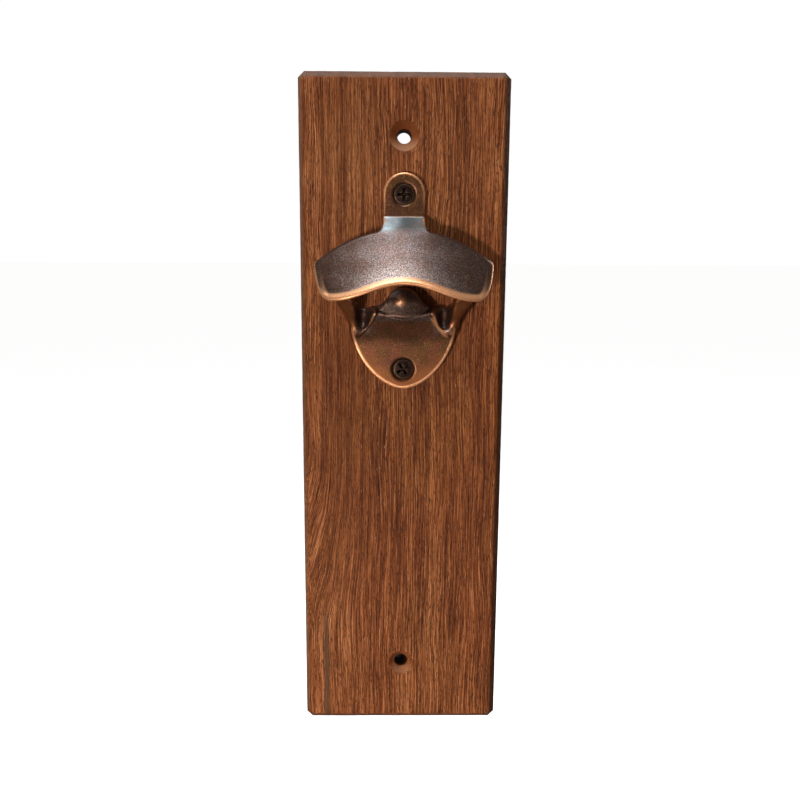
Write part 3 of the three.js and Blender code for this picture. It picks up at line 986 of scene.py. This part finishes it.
def side_tone_and_painted_light(s, colour, x, z):
    """Sides, ends and chamfers: painted shade on the right, greyer on the left, paler at the ends."""
    # Painted shade: the right side and its chamfer face away from the light from the left.
    right = s.steps(x, HALF_WIDTH - 3.0, HALF_WIDTH - 1.8, 0.0, 0.68)
    colour = s.mix(right, colour, RIGHT_SIDE_SHADE)
    left = s.steps(x, 2.2 - HALF_WIDTH, 1.0 - HALF_WIDTH, 0.0, 0.5)
    colour = s.mix(left, colour, LEFT_SIDE_GREY)
    # The ends and their chamfers are paler and greyer: partly end grain, partly painted light from above and
    # below.
    start, full = HALF_HEIGHT - 2.8, HALF_HEIGHT - 1.8
    ends = s.math("MAXIMUM", s.steps(z, start, full), s.steps(z, -start, -full))
    return s.mix(s.times(ends, 0.55), colour, END_PAINTED_LIGHT)


def hole_painted_light_and_shade(s, colour, x, y, z):
    """Painted light and shade: countersinks pale facing up, dark red facing down, and dark bores."""
    front = -THICKNESS
    for hole, mouth, painted_strength in WALL_HOLES:
        up = s.minus(z, hole)
        away = s.math("SQRT", s.plus(s.times(x, x), s.times(up, up)))
        cone = s.steps(away, mouth + 0.1, mouth - 0.5)
        cone = s.times(cone, s.steps(y, front + 0.05, front + 0.4))
        cone = s.times(cone, s.steps(y, front + 4.6, front + 3.8))
        cut = s.mix(s.steps(up, -4.5, 0.5), CONE_PAINTED_LIGHT, CONE_PAINTED_SHADE)
        colour = s.mix(s.times(cone, painted_strength), colour, cut)
        bore = s.steps(away, BORE_RADIUS + 0.35, BORE_RADIUS + 0.1)
        bore = s.times(bore, s.steps(y, front + 2.4, front + 4.5, 0.0, 0.85))
        colour = s.mix(bore, colour, BORE_PAINTED_SHADE)
    return colour


def wood(board):
    s = Shader("board_wood")
    x, y, z = s.split(s.place)
    grain = along_grain(s, x, y, z)
    tone = grain_tone(s, grain)
    pores = s.noise(s.scaled(s.moved(grain, (11.0, 5.0, 70.0)), (3.6, 3.6, 0.42)), detail=1.0)
    pores = s.steps(pores, 0.56, 0.68, 0.0, 0.75)
    flecks = s.noise(s.scaled(s.moved(grain, (90.0, 15.0, 2.0)), (2.2, 2.2, 0.3)), detail=1.0)

    colour = broad_colour(s, s.ramp(tone, GRAIN_COLOURS), z)
    colour = s.mix(pores, colour, PORE)
    colour = s.mix(s.steps(flecks, 0.70, 0.78, 0.0, 0.65), colour, FLECK)
    colour = mineral_streak(s, colour, x, z)
    colour = side_tone_and_painted_light(s, colour, x, z)
    colour = hole_painted_light_and_shade(s, colour, x, y, z)

    s.bump(s.plus(tone, s.times(pores, -0.5)), 0.26, 0.9)
    roughness = s.plus(s.times(pores, 0.2), s.steps(tone, 0.35, 0.65, 0.62, 0.5))
    s.finish(board, colour, roughness, 0.0, Specular_IOR_Level=0.2)


# -------------------------------- antique copper
PATINA_COLOURS = (
    (0.34, (0.040, 0.014, 0.006)),
    (0.50, (0.148, 0.057, 0.023)),
    (0.66, (0.42, 0.19, 0.10)),
)
GREENER_PATINA = (0.92, 1.0, 0.72)
REDDER_PATINA = (1.10, 0.92, 0.98)
DARK_CLOUD = (0.075, 0.030, 0.015)
WARM_PAINTED_LIGHT = (0.40, 0.125, 0.036)
POLISH_AND_REFLECTION_COLOURS = (
    (0.36, (0.034, 0.021, 0.019)),
    (0.50, (0.108, 0.077, 0.070)),
    (0.64, (0.40, 0.31, 0.285)),
)
# Painted reflection of the light above on the neck: silvery at the left, dark in the middle, grey at the
# right.
NECK_REFLECTION_LEFT = (0.52, 0.66, 0.68)
NECK_REFLECTION_MIDDLE = (0.065, 0.095, 0.098)
NECK_REFLECTION_RIGHT = (0.16, 0.20, 0.205)
HOOD_PAINTED_HIGHLIGHT = (0.66, 0.53, 0.46)
SCRATCH = (0.50, 0.38, 0.34)
# Bare copper of rubbed edges and rim, also used for painted highlights.
BARE_COPPER_AND_HIGHLIGHT = (0.97, 0.45, 0.21)
GRIME_AND_SHADE = (0.032, 0.016, 0.011)


def patina(s, speckle, cloud, hue):
    """Dark copper patina, speckled, greener and redder in places; painted light warms the legs and margins.
    """
    colour = s.ramp(speckle, PATINA_COLOURS)
    tint = s.mix(s.steps(hue, 0.35, 0.65), GREENER_PATINA, REDDER_PATINA)
    colour = s.mix(1.0, colour, tint, "MULTIPLY")
    colour = s.mix(s.steps(cloud, 0.42, 0.66, 0.0, 0.45), colour, DARK_CLOUD)
    return s.mix(s.times(s.attribute("lit_margin"), 0.42), colour, WARM_PAINTED_LIGHT)


def polish_and_painted_reflection(s, colour, speckle, cloud, hue):
    """Paler, greyer hood, tongue and pockets, silvery neck, highlight, fine scratches: polish and painted
    light.
    """
    x, y, z = s.split(s.place)
    # Painted reflection on the neck, brightest at the left.
    neck = s.mix(s.steps(x, 0.5, -6.0), NECK_REFLECTION_MIDDLE, NECK_REFLECTION_LEFT)
    neck = s.mix(s.steps(x, 3.0, 7.0, 0.0, 0.5), neck, NECK_REFLECTION_RIGHT)
    grey = s.ramp(speckle, POLISH_AND_REFLECTION_COLOURS)
    grey = s.mix(s.times(s.attribute("neck"), 0.92), grey, neck)
    polish_and_reflection = s.attribute("polish_and_reflection")
    # Paler and greyer: partly polish, partly painted reflection of the light above.
    colour = s.mix(s.times(polish_and_reflection, s.steps(cloud, 0.36, 0.64, 1.0, 0.55)), colour, grey)
    # Painted highlight on the hood near the middle of the rim.
    hood_highlight = s.times(s.attribute("hood_highlight"), s.steps(speckle, 0.42, 0.6, 0.0, 0.6))
    colour = s.mix(hood_highlight, colour, HOOD_PAINTED_HIGHLIGHT)
    slant = s.plus(x, s.times(z, 1.4))
    scratches = s.noise(s.joined(slant, y, s.times(x, 0.05)), 2.6, 1.0)
    scratches = s.times(s.steps(scratches, 0.66, 0.74, 0.0, 0.4), polish_and_reflection)
    scratches = s.times(scratches, s.steps(hue, 0.48, 0.60))
    return s.mix(scratches, colour, SCRATCH)


def rubbed_bare_and_highlight(s, bend, shelter, grit, speckle):
    """Where handling and tumbling have rubbed edges and rim down to the copper, with painted highlights."""
    edges = s.plus(bend, s.times(s.minus(grit, 0.5), 0.5))
    edges = s.times(s.steps(edges, 0.42, 1.0), s.minus(1.0, shelter))
    edges = s.times(edges, s.steps(s.attribute("less_wear_and_shade"), 0.0, 0.75, 1.0, 0.35))
    rubbed_and_highlight = s.times(s.attribute("rubbed_and_highlight"), s.steps(speckle, 0.25, 0.5, 0.72, 1.0))
    return s.math("MAXIMUM", edges, rubbed_and_highlight)


def antique_copper(casting):
    s = Shader("antique_copper")
    grit = s.noise(s.place, 2.1, 3.0, 0.6)
    fine = s.noise(s.moved(s.place, (8.0, 3.0, 5.0)), 5.5, 2.0, 0.6)
    cloud = s.noise(s.moved(s.place, (20.0, 9.0, 1.0)), 0.16, 3.0, 0.6)
    hue = s.noise(s.moved(s.place, (2.0, 31.0, 14.0)), 0.28, 2.0)
    speckle = s.plus(s.times(grit, 0.55), s.times(fine, 0.45))
    bend = s.attribute("bend")
    shelter = s.steps(s.attribute("shelter"), 0.08, 0.55)

    colour = polish_and_painted_reflection(s, patina(s, speckle, cloud, hue), speckle, cloud, hue)
    rubbed = rubbed_bare_and_highlight(s, bend, shelter, grit, speckle)
    colour = s.mix(rubbed, colour, BARE_COPPER_AND_HIGHLIGHT)
    # Darker in creases and sheltered places: partly patina in the hollows, partly painted shade.
    grime_and_shade = s.math("MAXIMUM", s.steps(bend, -0.25, -0.9, 0.0, 0.6), s.times(shelter, 0.52))
    colour = s.mix(grime_and_shade, colour, GRIME_AND_SHADE)

    s.bump(speckle, 0.16, 0.8)
    roughness = s.plus(s.steps(fine, 0.3, 0.7, 0.45, 0.31), s.times(rubbed, -0.08))
    metallic = s.steps(rubbed, 0.0, 1.0, 0.86, 0.65)
    s.finish(casting, colour, roughness, metallic, Coat_Weight=0.2, Coat_Roughness=0.3)


# -------------------------------- screws and floor
SCREW_COLOURS = (
    (0.36, (0.004, 0.002, 0.002)),
    (0.52, (0.018, 0.008, 0.006)),
    (0.68, (0.16, 0.080, 0.055)),
)
SCREW_EDGE = (0.30, 0.19, 0.12)


def dark_screw(screw):
    s = Shader(screw.name)
    grit = s.noise(s.place, 4.0, 3.0, 0.65)
    fine = s.noise(s.moved(s.place, (5.0, 2.0, 8.0)), 9.0, 1.0)
    colour = s.ramp(s.plus(s.times(grit, 0.6), s.times(fine, 0.4)), SCREW_COLOURS)
    rubbed = s.steps(s.plus(s.attribute("bend"), s.minus(grit, 0.5)), 1.6, 3.4, 0.0, 0.5)
    colour = s.mix(rubbed, colour, SCREW_EDGE)
    roughness = s.steps(fine, 0.3, 0.7, 0.52, 0.36)
    s.bump(grit, 0.07, 0.6)
    s.finish(screw, colour, roughness, 0.7, Specular_IOR_Level=0.2)


def pale_floor(floor):
    s = Shader("pale_floor")
    mottle = s.noise(s.place, 0.004, 2.0)
    colour = s.ramp(mottle, ((0.3, (0.88, 0.88, 0.88)), (0.7, (0.92, 0.92, 0.92))))
    s.finish(floor, colour, 0.8, 0.0, Emission_Color=(1, 1, 1, 1), Emission_Strength=0.88)


# -------------------------------- studio, in metres
FLOOR_DROP = 0.24
FLOOR_REACH = 12.0
LIGHT_AIM = Vector((0.0, 0.0, 0.03))
DIM_WORLD = (1.0, 0.98, 0.95, 1)
DIM_STRENGTH = 0.11
WHITE_BACKGROUND = (1, 1, 1, 1)
BACKGROUND_STRENGTH = 1.02
CAMERA_LENS = 39.6
CAMERA_PLACE = Vector((-0.00661, board_low.y - 0.386, 0.08305))
CAMERA_PITCH = math.radians(10.99)
CAMERA_YAW = math.radians(0.806)
CAMERA_ROLL = math.radians(0.375)


def make_floor():
    """A plain pale floor well below the board, which hangs as it would on a wall."""
    near, far = -FLOOR_REACH, FLOOR_REACH
    corners = [(near, near, 0), (far, near, 0), (far, far, 0), (near, far, 0)]
    floor = new_mesh("floor", corners, [(0, 1, 2, 3)])
    floor.location.z = board_low.z - FLOOR_DROP
    floor.visible_diffuse = False
    floor.visible_glossy = False
    pale_floor(floor)


def soft_light(name, place, size, power, colour):
    data = bpy.data.lights.new(name, "AREA")
    data.shape = "DISK"
    data.size = size
    data.energy = power
    data.color = colour
    light = bpy.data.objects.new(name, data)
    bpy.context.scene.collection.objects.link(light)
    light.location = place
    light.rotation_mode = "QUATERNION"
    light.rotation_quaternion = (LIGHT_AIM - Vector(place)).to_track_quat("-Z", "Y")


def make_world():
    """Dim light from all round, and a white background that only the camera sees."""
    world = bpy.data.worlds.new("studio")
    bpy.context.scene.world = world
    world.use_nodes = True
    nodes, links = world.node_tree.nodes, world.node_tree.links
    dim = nodes["Background"]
    dim.inputs["Color"].default_value = DIM_WORLD
    dim.inputs["Strength"].default_value = DIM_STRENGTH
    white = nodes.new("ShaderNodeBackground")
    white.inputs["Color"].default_value = WHITE_BACKGROUND
    white.inputs["Strength"].default_value = BACKGROUND_STRENGTH
    seen = nodes.new("ShaderNodeLightPath")
    either = nodes.new("ShaderNodeMixShader")
    links.new(seen.outputs["Is Camera Ray"], either.inputs[0])
    links.new(dim.outputs[0], either.inputs[1])
    links.new(white.outputs[0], either.inputs[2])
    links.new(either.outputs[0], nodes["World Output"].inputs["Surface"])


def studio():
    soft_light("key", (-0.38, -0.76, -0.14), 0.11, 4.5, (1.0, 0.92, 0.83))
    soft_light("overhead", (-0.03, -0.44, 0.88), 0.34, 3.3, (0.90, 0.95, 1.0))
    soft_light("skylight", (-0.14, -0.05, 0.95), 0.4, 5.0, (0.78, 0.90, 1.0))
    soft_light("low_bounce", (0.1, -0.5, -0.32), 0.6, 0.25, (1.0, 0.97, 0.93))
    soft_light("rear_fill", (0.7, 0.9, 0.3), 0.7, 5.0, (1.0, 1.0, 1.0))
    make_world()
    bpy.context.scene.view_settings.view_transform = "Standard"


def photo_camera():
    """The camera of the photo, found from the board's outline, chamfers and wall holes."""
    data = bpy.data.cameras.new("camera")
    data.sensor_width = 36
    data.lens = CAMERA_LENS
    data.clip_start = 0.01
    camera = bpy.data.objects.new("camera", data)
    bpy.context.scene.collection.objects.link(camera)
    bpy.context.scene.camera = camera
    camera.location = CAMERA_PLACE
    across, ahead = math.sin(CAMERA_YAW), math.cos(CAMERA_YAW)
    level = math.cos(CAMERA_PITCH)
    forward = Vector((across * level, ahead * level, -math.sin(CAMERA_PITCH)))
    camera.rotation_mode = "QUATERNION"
    camera.rotation_quaternion = forward.to_track_quat("-Z", "Y") @ Quaternion((0, 0, 1), CAMERA_ROLL)


photo_camera()
board = make_board()
casting = make_casting()
upper_screw = make_screw("screw_upper", "upper_screw", UPPER_SCREW_Z, 0.0)
lower_screw = make_screw("screw_lower", "lower_screw", LOWER_SCREW_Z, LOWER_RECESS_TURN)
wood(board)
antique_copper(casting)
dark_screw(upper_screw)
dark_screw(lower_screw)
make_floor()
studio()
